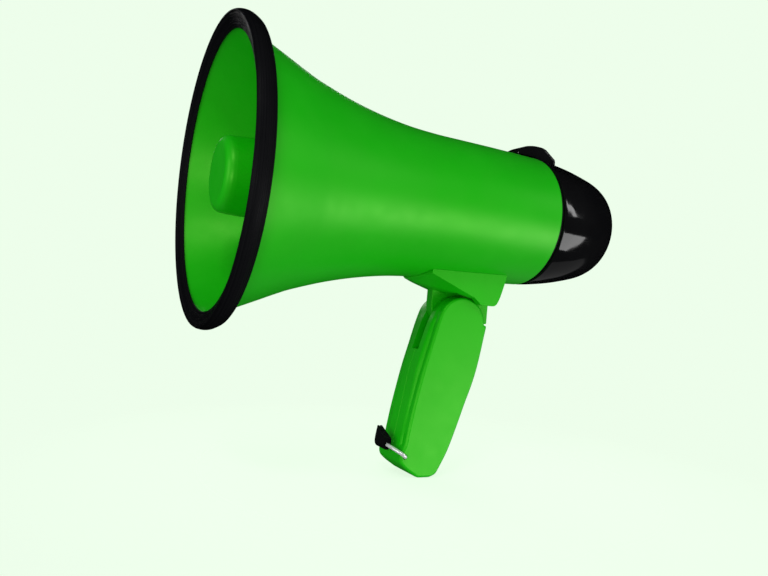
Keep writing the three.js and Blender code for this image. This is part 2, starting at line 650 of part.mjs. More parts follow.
// Webbing folded round the crossbar, its end cut at a slant: higher on the +Y side.
const tabOutline = [
  [113.4, -131], [116.2, -131], [117.3, -136], [117.8, -140], [116.8, -142.5], [115, -143.3],
  [113.2, -142.6], [112.1, -140.5], [112.3, -137],
];
const TAB_SLANT = Math.atan(0.5);

function strapTab() {
  const loop = crossRod(WIRE_RADIUS + GAP, -12, 12, 12).translate(BAIL_BAR_X, 0, BAIL_BAR_Z);
  const slant = block([105, 125], [-20, 20], [0, 12]).rotateX(TAB_SLANT).translate(0, 0, -133.75);
  return cut(slab(tabOutline, -TAB_HALF, TAB_HALF), loop, slant);
}

function addStrap() {
  piece("strap_bail", strapBail(), steel);
  piece("strap_tab", strapTab(), webbing);
}

// Assembly
piece("horn_bell", hornBell(), greenPlastic);
piece("horn_barrel", hornBarrel(), greenPlastic);
piece("rim_bumper", rimBumper(), blackRubber);
piece("reflector_cup", reflectorCup(), greenPlastic);
piece("throat_plate", throatPlate(), greenPlastic);
addDriver();
addBatteries();
addRearUnit();
addBracket();
addHandle();
addStrap();

megaphone.position.set(-TOTAL_LENGTH / 2, 0, -HANDLE_FOOT_Z);
export default megaphone;
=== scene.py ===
import json
import math

import bmesh
import bpy
from mathutils import Matrix, Vector


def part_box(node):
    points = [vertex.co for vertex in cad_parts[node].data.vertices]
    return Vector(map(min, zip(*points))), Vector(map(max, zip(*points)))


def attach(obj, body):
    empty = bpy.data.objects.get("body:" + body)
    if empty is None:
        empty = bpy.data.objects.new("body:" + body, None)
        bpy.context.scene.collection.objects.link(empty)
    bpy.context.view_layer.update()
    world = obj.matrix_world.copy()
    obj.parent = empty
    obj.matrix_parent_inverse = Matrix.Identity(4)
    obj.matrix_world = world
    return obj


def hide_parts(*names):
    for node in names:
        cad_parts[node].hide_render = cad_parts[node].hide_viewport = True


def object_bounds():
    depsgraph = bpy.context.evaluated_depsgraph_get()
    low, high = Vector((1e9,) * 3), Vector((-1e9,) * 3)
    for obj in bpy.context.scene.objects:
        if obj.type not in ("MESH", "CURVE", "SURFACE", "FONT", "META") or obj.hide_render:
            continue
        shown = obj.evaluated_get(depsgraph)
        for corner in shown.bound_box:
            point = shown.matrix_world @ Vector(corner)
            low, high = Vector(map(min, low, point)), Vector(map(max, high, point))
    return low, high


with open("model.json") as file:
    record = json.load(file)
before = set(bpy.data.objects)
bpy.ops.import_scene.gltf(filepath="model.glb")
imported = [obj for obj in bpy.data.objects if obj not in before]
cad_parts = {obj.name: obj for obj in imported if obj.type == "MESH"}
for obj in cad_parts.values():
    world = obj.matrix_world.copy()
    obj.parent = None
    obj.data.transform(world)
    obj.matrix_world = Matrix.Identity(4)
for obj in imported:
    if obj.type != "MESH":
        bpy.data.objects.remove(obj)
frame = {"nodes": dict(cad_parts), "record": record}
cad_low, cad_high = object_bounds()

# Handheld megaphone. Its shapes are given in millimetres from the centre of the mouth: X runs back
# along the horn's axis, Y to the volume wheel's side and Z up. TO_ROW takes them to the row frame.
rim_low, rim_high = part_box("rim_bumper")
MOUTH = Vector((rim_low.x, 0, (rim_low.z + rim_high.z) / 2))
TO_ROW = Matrix.Translation(MOUTH) @ Matrix.Scale(0.001, 4)

ROUND = 160  # sides of the large turned pieces
SMALL_ROUND = 48
EDGE_STEPS = 5  # in the quarter round along a slab's edge
EVERYWHERE = 400  # further than any part of the megaphone
SMALLEST_BEND = 0.15  # radius at the sharpest corner of a rounded outline
SIDE_SHARE = 0.49  # of an outline's side that one corner may round away
PALE = (0.85, 0.99, 0.83, 1)  # the backdrop

# Camera and light

CAMERA_PLACE = Vector((-78.95, -358.97, -56.56))
CAMERA_FORWARD = Vector((0.4597, 0.8880, 0.0148))
CAMERA_RIGHT = Vector((0.8841, -0.4591, 0.0878))
LENS = 32.8  # focal length, on a sensor SENSOR_WIDTH wide
SENSOR_WIDTH = 36
LIT_POINT = Vector((110, 0, 0))  # every light is aimed here
LIGHT_DISTANCE = 1.2  # m from there
FILL = (0.95, 1, 0.95, 1)
FILL_STRENGTH = 0.57


def add_camera():
    data = bpy.data.cameras.new("camera")
    data.lens = LENS
    data.sensor_width = SENSOR_WIDTH
    camera = bpy.data.objects.new("camera", data)
    forward = CAMERA_FORWARD.normalized()
    right = CAMERA_RIGHT.normalized()
    up = right.cross(forward)
    turn = Matrix((right, up, -forward)).transposed().to_4x4()
    camera.matrix_world = Matrix.Translation(TO_ROW @ CAMERA_PLACE) @ turn
    bpy.context.collection.objects.link(camera)
    bpy.context.scene.camera = camera


def softbox(name, side, height, size, power):
    """An area light aimed at the barrel. Side and height are angles in degrees: side from straight in
    front of the barrel's -Y side towards its rear, and height above the horizontal."""
    data = bpy.data.lights.new(name, "AREA")
    data.shape = "RECTANGLE"
    data.size, data.size_y = size
    data.energy = power
    light = bpy.data.objects.new(name, data)
    side, height = math.radians(side), math.radians(height)
    level = math.cos(height)
    outward = Vector((math.sin(side) * level, -math.cos(side) * level, math.sin(height)))
    light.rotation_mode = "QUATERNION"
    light.rotation_quaternion = (-outward).to_track_quat("-Z", "Y")
    light.location = TO_ROW @ LIT_POINT + LIGHT_DISTANCE * outward
    bpy.context.collection.objects.link(light)


def add_world():
    """Pale all round where it's looked at, a softer fill where it lights, and not seen in reflections."""
    world = bpy.data.worlds.new("studio")
    bpy.context.scene.world = world
    world.use_nodes = True
    world.cycles_visibility.glossy = False
    tree = world.node_tree
    fill = tree.nodes["Background"]
    fill.inputs["Color"].default_value = FILL
    fill.inputs["Strength"].default_value = FILL_STRENGTH
    backdrop = tree.nodes.new("ShaderNodeBackground")
    backdrop.inputs["Color"].default_value = PALE
    backdrop.inputs["Strength"].default_value = 1
    path = tree.nodes.new("ShaderNodeLightPath")
    mix = tree.nodes.new("ShaderNodeMixShader")
    tree.links.new(path.outputs["Is Camera Ray"], mix.inputs["Fac"])
    tree.links.new(fill.outputs["Background"], mix.inputs[1])
    tree.links.new(backdrop.outputs["Background"], mix.inputs[2])
    tree.links.new(mix.outputs["Shader"], tree.nodes["World Output"].inputs["Surface"])


def add_studio():
    bpy.context.scene.view_settings.view_transform = "Standard"
    add_world()
    softbox("key", 45, -20, (0.85, 0.42), 5.5)
    softbox("window", 57, 20, (0.07, 0.4), 0.6)
    softbox("front_low", -35, -9, (0.3, 0.12), 2.8)
    softbox("front_high", -41, 43, (0.3, 0.12), 2.8)
    softbox("mouth", -80, 5, (0.6, 0.6), 3.4)
    softbox("under", 108, -42, (0.9, 0.6), 0.3)
    softbox("back", 172, 24, (0.8, 0.3), 2.5)


# Shapes


def smooth_curve(points, steps=6):
    """A smooth open line through the points, by Catmull-Rom."""
    padded = [2 * Vector(points[0]) - Vector(points[1]), *map(Vector, points),
              2 * Vector(points[-1]) - Vector(points[-2])]
    line = []
    for a, b, c, d in zip(padded, padded[1:], padded[2:], padded[3:]):
        for i in range(steps):
            t = i / steps
            line.append(0.5 * (2 * b + (c - a) * t + (2 * a - 5 * b + 4 * c - d) * t**2
                               + (3 * b - a - 3 * c + d) * t**3))
    return [tuple(p) for p in line] + [tuple(points[-1])]


def rounded(corners, inset=0.0, steps=5):
    """A closed outline with its corners rounded, moved inwards by inset.
    A corner is (x, z) for one as soft as its neighbours allow, or (x, z, radius)."""
    places = [Vector(c[:2]) for c in corners]
    radii = [c[2] if len(c) > 2 else EVERYWHERE for c in corners]
    area = sum(a.cross(b) for a, b in zip(places, places[1:] + places[:1]))
    if area < 0:
        places.reverse()
        radii.reverse()
    count = len(places)
    ways = [(places[(i + 1) % count] - places[i]).normalized() for i in range(count)]
    inward = [Vector((-way.y, way.x)) for way in ways]
    shifted = []
    for i in range(count):
        both = inward[i - 1] + inward[i]
        shifted.append(places[i] + inset * both / (1 + inward[i - 1].dot(inward[i])))
    line = []
    for i, place in enumerate(shifted):
        before, after = shifted[i - 1], shifted[(i + 1) % count]
        back, ahead = before - place, after - place
        turn = ways[i - 1].angle_signed(ways[i], 0)
        bend = radii[i] - inset if turn < 0 else radii[i] + inset
        reach = max(bend, SMALLEST_BEND) * math.tan(abs(turn) / 2)
        reach = min(reach, SIDE_SHARE * back.length, SIDE_SHARE * ahead.length)
        start, end = place + back.normalized() * reach, place + ahead.normalized() * reach
        for k in range(steps + 1):
            t = k / steps
            line.append((1 - t) ** 2 * start + 2 * t * (1 - t) * place + t**2 * end)
    return line


def as_object(name, bm, closed_faces=True):
    """The mesh as an object of the scene, its faces turned outwards if they close."""
    bmesh.ops.remove_doubles(bm, verts=bm.verts, dist=1e-5)
    if closed_faces:
        bmesh.ops.recalc_face_normals(bm, faces=bm.faces)
    mesh = bpy.data.meshes.new(name)
    bm.to_mesh(mesh)
    bm.free()
    made = bpy.data.objects.new(name, mesh)
    bpy.context.collection.objects.link(made)
    return made


def turned(name, outline, sides=ROUND):
    """A closed (x, radius) outline turned about the horn's axis."""
    bm = bmesh.new()
    rings = []
    for x, radius in outline:
        count = sides if radius > 1e-6 else 1
        angles = [2 * math.pi * i / sides for i in range(count)]
        rings.append([bm.verts.new((x, radius * math.sin(a), radius * math.cos(a))) for a in angles])
    for one, other in zip(rings, rings[1:] + rings[:1]):
        for i in range(sides):
            corners = [one[i % len(one)], one[(i + 1) % len(one)],
                       other[(i + 1) % len(other)], other[i % len(other)]]
            different = list(dict.fromkeys(corners))
            if len(different) > 2:
                bm.faces.new(different)
    return as_object(name, bm)


def slab(name, corners, start, end, edge=0.0, start_edge=0.0, steps=5):
    """A rounded (x, z) outline pushed along Y from start to end, with an edge radius for each face."""
    turns = [math.pi / 2 * i / EDGE_STEPS for i in range(EDGE_STEPS + 1)]
    layers = [(start_edge * (1 - math.sin(a)), start + start_edge * (1 - math.cos(a))) for a in turns]
    if start_edge == 0:
        layers = [(0, start)]
    if edge:
        layers += [(edge * (1 - math.cos(a)), end - edge + edge * math.sin(a)) for a in turns]
    else:
        layers.append((0, end))
    bm = bmesh.new()
    rings = []
    for inset, y in layers:
        rings.append([bm.verts.new((p.x, y, p.y)) for p in rounded(corners, inset, steps)])
    count = len(rings[0])
    for one, other in zip(rings, rings[1:]):
        for i in range(count):
            j = (i + 1) % count
            bm.faces.new((one[i], one[j], other[j], other[i]))
    bm.faces.new(rings[0])
    bm.faces.new(rings[-1])
    return as_object(name, bm)


def rod(radius, start, end, sides=SMALL_ROUND):
    """A rod along the horn's axis."""
    return turned("rod", [(start, 0), (start, radius), (end, radius), (end, 0)], sides)


def block(x, y, z):
    """A box between two values on each axis."""
    corners = [(x[0], z[0], 0), (x[1], z[0], 0), (x[1], z[1], 0), (x[0], z[1], 0)]
    return slab("block", corners, y[0], y[1], steps=1)


def moved(piece, x=0, y=0, z=0, turn=None, axis="Y"):
    """Turns the piece about the origin and then shifts it."""
    matrix = Matrix.Translation((x, y, z))
    if turn is not None:
        matrix = matrix @ Matrix.Rotation(turn, 4, axis)
    piece.data.transform(matrix)
    return piece


def cross_rod(radius, start, end, x, z, sides=SMALL_ROUND):
    """A rod along Y, at one x and z."""
    return moved(rod(radius, start, end, sides), x, 0, z, math.pi / 2, "Z")


def applied(piece):
    """Bakes the piece's modifiers into its mesh."""
    graph = bpy.context.evaluated_depsgraph_get()
    mesh = bpy.data.meshes.new_from_object(piece.evaluated_get(graph))
    piece.modifiers.clear()
    piece.data = mesh
    return piece


def combined(operation, base, *tools):
    """Joins the tools to the base, or cuts them out of it, and removes them."""
    for tool in tools:
        modifier = base.modifiers.new("with_" + tool.name, "BOOLEAN")
        modifier.object = tool
        modifier.operation = operation
        modifier.solver = "EXACT"
    applied(base)
    for tool in tools:
        bpy.data.objects.remove(tool)
    return base


def united(base, *tools):
    return combined("UNION", base, *tools)


def carved(base, *tools):
    return combined("DIFFERENCE", base, *tools)


def stacked(*pieces):
    """Several pieces that don't touch, as one object."""
    bm = bmesh.new()
    for piece in pieces:
        bm.from_mesh(piece.data)
    for piece in pieces[1:]:
        bpy.data.objects.remove(piece)
    bm.to_mesh(pieces[0].data)
    bm.free()
    return pieces[0]


def mirrored(piece):
    """The piece itself, mirrored across the plane y = 0."""
    piece.data.transform(Matrix.Scale(-1, 4, (0, 1, 0)))
    piece.data.flip_normals()
    return piece


def shaded(piece, crease):
    """Smooth faces, with a hard edge wherever two faces meet at more than crease degrees."""
    bm = bmesh.new()
    bm.from_mesh(piece.data)
    bmesh.ops.remove_doubles(bm, verts=bm.verts, dist=1e-6)
    for face in bm.faces:
        face.smooth = True
    for edge in bm.edges:
        edge.smooth = edge.calc_face_angle(0) < math.radians(crease)
    bm.to_mesh(piece.data)
    bm.free()


def placed(piece, name, body, look, replaces=(), crease=32, soften=0.0):
    """Moves a finished piece to the row frame, ties it to its body and look, and hides the CAD nodes it
    replaces.
    """
    piece.name = name
    piece.data.name = name
    if soften:
        bevel = piece.modifiers.new("softened_edges", "BEVEL")
        bevel.width = soften
        bevel.segments = 3
        bevel.limit_method = "ANGLE"
        bevel.angle_limit = math.radians(crease)
        applied(piece)
    piece.data.transform(TO_ROW)
    shaded(piece, crease)
    weighted = piece.modifiers.new("even_shading", "WEIGHTED_NORMAL")
    weighted.keep_sharp = True
    piece.data.materials.clear()
    piece.data.materials.append(looks[look])
    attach(piece, body)
    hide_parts(*replaces)
    return piece


# Looks


def blank(name, colour, roughness, metallic=0.0):
    """A material whose shader holds these constants, with its tree and shader."""
    material = bpy.data.materials.new(name)
    material.use_nodes = True
    material.diffuse_color = (*colour, 1)
    shader = material.node_tree.nodes["Principled BSDF"]
    shader.inputs["Base Color"].default_value = (*colour, 1)
    shader.inputs["Roughness"].default_value = roughness
    shader.inputs["Metallic"].default_value = metallic
    return material, material.node_tree, shader


def surface_place(tree, stretch=(1, 1, 1)):
    """The point on the piece in its own frame, in millimetres, stretched along each axis."""
    place = tree.nodes.new("ShaderNodeTexCoord")
    mapping = tree.nodes.new("ShaderNodeMapping")
    mapping.inputs["Scale"].default_value = [1000 * s for s in stretch]
    tree.links.new(place.outputs["Object"], mapping.inputs["Vector"])
    return mapping.outputs["Vector"]


def noise(tree, place, size, detail=3.0):
    """Noise whose features are about size millimetres across."""
    node = tree.nodes.new("ShaderNodeTexNoise")
    node.inputs["Scale"].default_value = 1 / size
    node.inputs["Detail"].default_value = detail
    tree.links.new(place, node.inputs["Vector"])
    return node.outputs["Fac"]


def spread(tree, value, low, high, into, start=0.3, end=0.7):
    """Drives a number on the shader between low and high."""
    node = tree.nodes.new("ShaderNodeMapRange")
    node.inputs["From Min"].default_value = start
    node.inputs["From Max"].default_value = end
    node.inputs["To Min"].default_value = low
    node.inputs["To Max"].default_value = high
    tree.links.new(value, node.inputs["Value"])
    tree.links.new(node.outputs["Result"], into)


def tinted(tree, value, colours, into, start=0.3, end=0.7):
    """Drives a colour between two or more, evenly spaced from start to end."""
    node = tree.nodes.new("ShaderNodeValToRGB")
    ramp = node.color_ramp
    while len(ramp.elements) < len(colours):
        ramp.elements.new(0.5)
    for i, colour in enumerate(colours):
        ramp.elements[i].position = start + (end - start) * i / (len(colours) - 1)
        ramp.elements[i].color = (*colour, 1)
    tree.links.new(value, node.inputs["Fac"])
    tree.links.new(node.outputs["Color"], into)


def bumps(tree, shader, layers):
    """Bump layers (height, depth in millimetres) one over the other."""
    normal = None
    for height, depth in layers:
        node = tree.nodes.new("ShaderNodeBump")
        node.inputs["Strength"].default_value = 1
        node.inputs["Distance"].default_value = depth / 1000
        tree.links.new(height, node.inputs["Height"])
        if normal is not None:
            tree.links.new(normal, node.inputs["Normal"])
        normal = node.outputs["Normal"]
    tree.links.new(normal, shader.inputs["Normal"])


def maths(tree, operation, first, second=None):
    """A sum on one or two values, each a number or another node's output."""
    node = tree.nodes.new("ShaderNodeMath")
    node.operation = operation
    for socket, value in zip(node.inputs, (first, second)):
        if isinstance(value, bpy.types.NodeSocket):
            tree.links.new(value, socket)
        elif value is not None:
            socket.default_value = value
    return node.outputs["Value"]


def axes(tree, place):
    """The x, y and z of a point, as three outputs."""
    split = tree.nodes.new("ShaderNodeSeparateXYZ")
    tree.links.new(place, split.inputs["Vector"])
    return [split.outputs[axis] for axis in "XYZ"]


def moulded(name, dark, light, roughness, peel=0.012, grain=0.004, specular=0.5, gleam=(1, 1, 1)):
    """Moulded plastic: slow changes of tone and gloss, orange peel and a fine grain."""
    material, tree, shader = blank(name, light, sum(roughness) / 2)
    shader.inputs["Specular IOR Level"].default_value = specular
    shader.inputs["Specular Tint"].default_value = (*gleam, 1)
    place = surface_place(tree)
    tinted(tree, noise(tree, place, 38), (dark, light), shader.inputs["Base Color"])
    spread(tree, noise(tree, place, 9), *roughness, shader.inputs["Roughness"])
    bumps(tree, shader, [(noise(tree, place, 2.6, 2), peel), (noise(tree, place, 0.35, 2), grain)])
    return material


def metal(name, colours, roughness, stretch=(1, 1, 1), scratch=0.003, metallic=1.0):
    """Bare or plated metal with streaks along the axis that is stretched least."""
    material, tree, shader = blank(name, colours[-1], sum(roughness) / 2, metallic)
    place = surface_place(tree, stretch)
    streaks = noise(tree, place, 1.4, 5)
    tinted(tree, noise(tree, place, 6), colours, shader.inputs["Base Color"])
    spread(tree, streaks, *roughness, shader.inputs["Roughness"])
    bumps(tree, shader, [(streaks, scratch)])
    return material


def grooved_rubber(name):
    """Rubber with fine rings turned into it, round the horn's axis."""
    material, tree, shader = blank(name, (0.004, 0.004, 0.005), 0.6)
    shader.inputs["Specular IOR Level"].default_value = 0.05
    place = surface_place(tree)
    x, y, z = axes(tree, place)
    height = maths(tree, "SUBTRACT", z, MOUTH.z * 1000)
    radius = maths(tree, "SQRT", maths(tree, "ADD", maths(tree, "POWER", y, 2.0),
                                       maths(tree, "POWER", height, 2.0)))
    rings = tree.nodes.new("ShaderNodeCombineXYZ")
    tree.links.new(radius, rings.inputs["X"])
    tree.links.new(x, rings.inputs["Y"])
    fine = noise(tree, rings.outputs["Vector"], 0.45, 2)
    tinted(tree, fine, ((0.002, 0.002, 0.003), (0.006, 0.006, 0.007)), shader.inputs["Base Color"])
    spread(tree, noise(tree, place, 5), 0.36, 0.5, shader.inputs["Roughness"])
    bumps(tree, shader, [(fine, 0.14), (noise(tree, place, 0.5, 2), 0.006)])
    return material


def woven(name):
    """Black webbing: ribs across the band and a finer weave along it."""
    material, tree, shader = blank(name, (0.003, 0.003, 0.004), 0.85)
    shader.inputs["Specular IOR Level"].default_value = 0.1
    place = surface_place(tree)
    x, y, z = axes(tree, place)
    ribs = maths(tree, "SINE", maths(tree, "MULTIPLY", y, 2 * math.pi / 1.1))
    picks = maths(tree, "SINE", maths(tree, "MULTIPLY", maths(tree, "ADD", z, x), 2 * math.pi / 0.7))
    weave = maths(tree, "MULTIPLY", ribs, picks)
    tinted(tree, weave, ((0.001, 0.001, 0.002), (0.006, 0.006, 0.007)), shader.inputs["Base Color"], -1, 1)
    spread(tree, noise(tree, place, 0.4), 0.75, 0.95, shader.inputs["Roughness"])
    bumps(tree, shader, [(weave, 0.07), (noise(tree, place, 0.2), 0.03)])
    return material


def printed_board(name):
    """Green solder mask over copper tracks."""
    material, tree, shader = blank(name, (0.02, 0.12, 0.05), 0.35)
    place = surface_place(tree)
    tracks = tree.nodes.new("ShaderNodeTexBrick")
    tracks.inputs["Scale"].default_value = 0.25
    tracks.inputs["Mortar Size"].default_value = 0.06
    tracks.inputs["Color1"].default_value = (0.012, 0.1, 0.035, 1)
    tracks.inputs["Color2"].default_value = (0.016, 0.13, 0.045, 1)
    tracks.inputs["Mortar"].default_value = (0.05, 0.22, 0.07, 1)
    turn = tree.nodes.new("ShaderNodeMapping")
    turn.inputs["Rotation"].default_value = (0, math.pi / 2, 0)
    tree.links.new(place, turn.inputs["Vector"])
    tree.links.new(turn.outputs["Vector"], tracks.inputs["Vector"])
    tree.links.new(tracks.outputs["Color"], shader.inputs["Base Color"])
    spread(tree, noise(tree, place, 4), 0.28, 0.42, shader.inputs["Roughness"])
    bumps(tree, shader, [(tracks.outputs["Fac"], 0.03)])
    return material


looks = {
    "green_plastic": moulded("green_plastic", (0.0006, 0.40, 0.0004), (0.001, 0.43, 0.0008),
                             (0.39, 0.46), 0.010, 0.003, 0.9, (0.4, 1, 0.17)),
    "gloss_black_plastic": moulded("gloss_black_plastic", (0.0025, 0.0025, 0.003),
                                   (0.005, 0.005, 0.0055), (0.05, 0.1), 0.004, 0.001, 0.3),
    "black_plastic": moulded("black_plastic", (0.010, 0.010, 0.011), (0.018, 0.018, 0.02), (0.4, 0.55)),
    "black_rubber": grooved_rubber("black_rubber"),
    "bright_wire": metal("bright_wire", ((0.85, 0.85, 0.87), (0.95, 0.95, 0.97)), (0.2, 0.32), metallic=0.5),
    "plated_steel": metal("plated_steel", ((0.45, 0.45, 0.47), (0.6, 0.6, 0.62)), (0.22, 0.4)),
    "ferrite": moulded("ferrite", (0.02, 0.02, 0.022), (0.05, 0.05, 0.052), (0.55, 0.8), 0.05, 0.03),
    "brass": metal("brass", ((0.5, 0.34, 0.12), (0.72, 0.53, 0.22)), (0.2, 0.38)),
    "diaphragm_film": moulded("diaphragm_film", (0.42, 0.25, 0.08), (0.6, 0.4, 0.16), (0.2, 0.35)),
    "cell_wrap": moulded("cell_wrap", (0.03, 0.05, 0.15), (0.045, 0.075, 0.2), (0.2, 0.35)),
    "capacitor_sleeve": moulded("capacitor_sleeve", (0.02, 0.03, 0.1), (0.03, 0.045, 0.14), (0.25, 0.4)),
    "circuit_board": printed_board("circuit_board"),
    "heat_sink_aluminium": metal("heat_sink_aluminium", ((0.55, 0.55, 0.57), (0.72, 0.72, 0.74)),
                                 (0.28, 0.45), (2, 0.1, 2)),
    "black_webbing": woven("black_webbing"),
}

# Horn

HORN_WALL = 2.4
LEDGE_START = 136  # the ledge inside the barrel that the battery holder stands on
LEDGE_END = 138.5
LEDGE_RADIUS = 31
BARREL_INSIDE = 39.2
horn_outer = smooth_curve([
    (4, 74.7), (10, 72.1), (19.5, 68.1), (29.3, 64), (39, 59.9), (48.5, 56.3), (67.8, 50.6),
    (87.1, 46.4), (106.4, 43.6), (125.7, 42.3), (145, 41.9), (170, 41.4), (199.1, 40.4),
])


def barrel_room(clearance):
    """The horn's outside as a solid, larger by clearance all round."""
    line = [(x, radius + clearance) for x, radius in horn_outer]
    return turned("barrel_room", [(line[0][0], 0), *line, (line[-1][0], 0)])


def add_horn():
    inner = [(x, radius - HORN_WALL) for x, radius in horn_outer]
    ledge = [
        (LEDGE_START, BARREL_INSIDE), (LEDGE_START, LEDGE_RADIUS), (LEDGE_END, LEDGE_RADIUS),
        (LEDGE_END, BARREL_INSIDE),
    ]
    back = [p for p in inner if p[0] > LEDGE_END + 1]
    front = [p for p in inner if p[0] < LEDGE_START - 1]
    lip = [(199.4, 40.25), (199.5, 39.95), (199.5, 38.2)]
    outline = [*horn_outer, *lip, *back[::-1], *ledge[::-1], *front[::-1]]
    placed(turned("horn", outline), "horn", "megaphone_body", "green_plastic", ("horn_bell", "horn_barrel"))


def ridged(line, pitch, depth):
    """Sinks a round-bottomed groove into an outline at every pitch along it."""
    run = 0.0
    made = []
    for i, (x, radius) in enumerate(line):
        before, after = Vector(line[max(i - 1, 0)]), Vector(line[min(i + 1, len(line) - 1)])
        way = (after - before).normalized()
        if i:
            run += (Vector((x, radius)) - Vector(line[i - 1])).length
        sink = depth * max(0.0, math.cos(2 * math.pi * run / pitch)) ** 2
        made.append((x + sink * way.y, radius - sink * way.x))
    return made


def resampled(line, step):
    """The same line with its points about one step apart."""
    made = [Vector(line[0])]
    for a, b in zip(line, line[1:]):
        a, b = Vector(a), Vector(b)
        count = max(1, round((b - a).length / step))
        made += [a.lerp(b, (i + 1) / count) for i in range(count)]
    return [tuple(p) for p in made]


GROOVE_PITCH = 1.15
GROOVE_DEPTH = 0.13
GROOVE_STEP = 0.22  # between the points that draw the grooves
RIM_ROUND = 192


def add_rim():
    face = smooth_curve([
        (4.4, 71.4), (3.8, 71.3), (3.3, 72.1), (2.2, 75.4), (1.1, 78.3), (0.75, 79), (1.1, 79.7), (2.4, 80.3),
        (4.5, 80.6), (6.6, 80.3), (8.6, 79.4), (10, 78.5), (10.4, 77.6),
    ], 8)
    slot = [(10.4, 72.5), (3.75, 75.2), (3.75, 72), (4.4, 71.9)]
    outline = [*ridged(resampled(face, GROOVE_STEP), GROOVE_PITCH, GROOVE_DEPTH), *slot]
    ring = turned("rim", outline, RIM_ROUND)
    placed(ring, "rim_bumper_ring", "megaphone_body", "black_rubber", ("rim_bumper",), 50)


def add_reflector():
    nose = smooth_curve([(5, 15.4), (5.35, 17.1), (6.4, 18.8), (8.2, 19.9), (10.6, 20.3)], 5)
    outline = [
        (5, 0), (5, 14.8), *nose, (30, 21.1), (88, 21.6), (88, 19.6), (30, 19.1), (10.5, 18.3), (8.2, 16.9),
        (7, 14.4), (7, 0),
    ]
    placed(turned("cup", outline), "reflector", "megaphone_body", "green_plastic", ("reflector_cup",))


def add_throat():
    plate = turned("plate", [
        (28, 7), (28, 9.2), (28.3, 9.5), (90, 9.5), (93.5, 11.2), (95.2, 13), (96, 15.5), (96, 41.2),
        (98.3, 41.2), (98.3, 31.5), (101, 31.5), (101, 22), (98.3, 22), (98.3, 7),
    ])
    ribs = [moved(block((34, 86), (-0.9, 0.9), (8, 18.7)), turn=math.radians(120 * i), axis="X")
            for i in range(3)]
    united(plate, *ribs)
    placed(plate, "throat", "megaphone_body", "green_plastic", ("throat_plate",))


# Rear unit

CAP_START = 201.9
CAP_WALL = 2.1
cap_outer = smooth_curve([
    (203.1, 40.15), (211.6, 39.3), (223.7, 37.5), (235.8, 34.9), (244, 32.6), (250, 29.6), (254.3, 25.6),
    (257.4, 20.6), (259.3, 16.4), (260, 13.6),
])
POD_OUTLINE = [
    (187.6, 36), (187.8, 42.4), (190.5, 44.6), (194.5, 46.7), (199, 47.9), (204, 48.3), (208.8, 48.1),
    (211.2, 47.3, 1.2), (218.8, 42.2, 1.2), (219.4, 40.6, 0.8), (219.4, 36),
]
FACET_START = Vector((211.2, 47.3))
FACET_END = Vector((218.8, 42.2))
WHEEL_X = 225
WHEEL_Y = 29.9
WHEEL_TEETH = 44
WHEEL_RADIUS = 9.2
WHEEL_ROOT = 8.6
WHEEL_HALF = 2.1
WHEEL_EDGE = 0.15


def on_facet(piece):
    """Moves a piece made with +Z out of the pod's slanted facet onto that facet."""
    along = FACET_END - FACET_START
    middle = (FACET_START + FACET_END) / 2
    return moved(piece, middle.x, 0, middle.y, -math.atan2(along.y, along.x))


def add_rear_cap():
    inner = [(x - 0.8, radius - CAP_WALL) for x, radius in cap_outer if 207 < x < 255][::-1]
    outline = [
        (190, 37.1), (190.4, 37.4), (CAP_START, 37.4), (CAP_START, 39.5), (202.1, 39.9), (202.6, 40.15),
        *cap_outer, (260, 13.1), (259.8, 12.9), (257.9, 12.9), (257.9, 10.9), (256, 10.9), (255.6, 15),
        *inner, (204.4, 35.6), (190, 35.6),
    ]
    shell = turned("shell", outline)
    pod = slab("pod", POD_OUTLINE, -8, 8, 2.5, 2.5)
    carved(pod, rod(41.6, 150, CAP_START, ROUND), rod(36, CAP_START - 1, 230, ROUND))
    united(shell, pod)
    wheel_slot = block((WHEEL_X - 9, WHEEL_X + 9.8), (30, 45), (-2.6, 2.6))
    pocket = on_facet(block((-2.9, 2.9), (-5.6, 5.6), (-1.4, 3)))
    carved(shell, wheel_slot, pocket)
    placed(shell, "rear_housing", "rear_unit", "gloss_black_plastic", ("rear_cap",), 30)


def add_grille():
    disc = turned("disc", [
        (258.2, 0), (258.2, 12.4), (259.2, 12.6), (259.6, 12.3), (259.75, 11.4), (259.4, 10.6), (259.6, 0),
    ], 96)
    holes = []
    for radius, count in ((0, 1), (3.2, 6), (6.1, 12), (8.9, 18)):
        for i in range(count):
            angle = 2 * math.pi * i / count
            hole = rod(0.75, 257, 261, 16)
            holes.append(moved(hole, 0, radius * math.sin(angle), radius * math.cos(angle)))
    carved(disc, stacked(*holes))
    placed(disc, "microphone_grille", "rear_unit", "gloss_black_plastic", ("mic_grille",), 30, 0.12)


def add_wheel():
    tooth = ((0.0, WHEEL_RADIUS), (0.45, WHEEL_RADIUS), (0.55, WHEEL_ROOT), (0.95, WHEEL_ROOT))
    corners = []
    for i in range(WHEEL_TEETH):
        for share, radius in tooth:
            angle = -2 * math.pi * (i + share) / WHEEL_TEETH
            corners.append((radius * math.cos(angle), radius * math.sin(angle), WHEEL_EDGE))
    wheel = slab("wheel", corners, -WHEEL_HALF, WHEEL_HALF, WHEEL_EDGE, WHEEL_EDGE, 2)
    carved(wheel, cross_rod(6.5, 1.5, 3, 0, 0), cross_rod(6.5, -3, -1.5, 0, 0))
    carved(wheel, cross_rod(2.4, -2, 2, 0, 0))
    moved(wheel, WHEEL_X, WHEEL_Y, 0, math.pi / 2, "X")
    placed(wheel, "thumb_wheel", "volume_wheel", "black_plastic", ("volume_wheel",), 30)


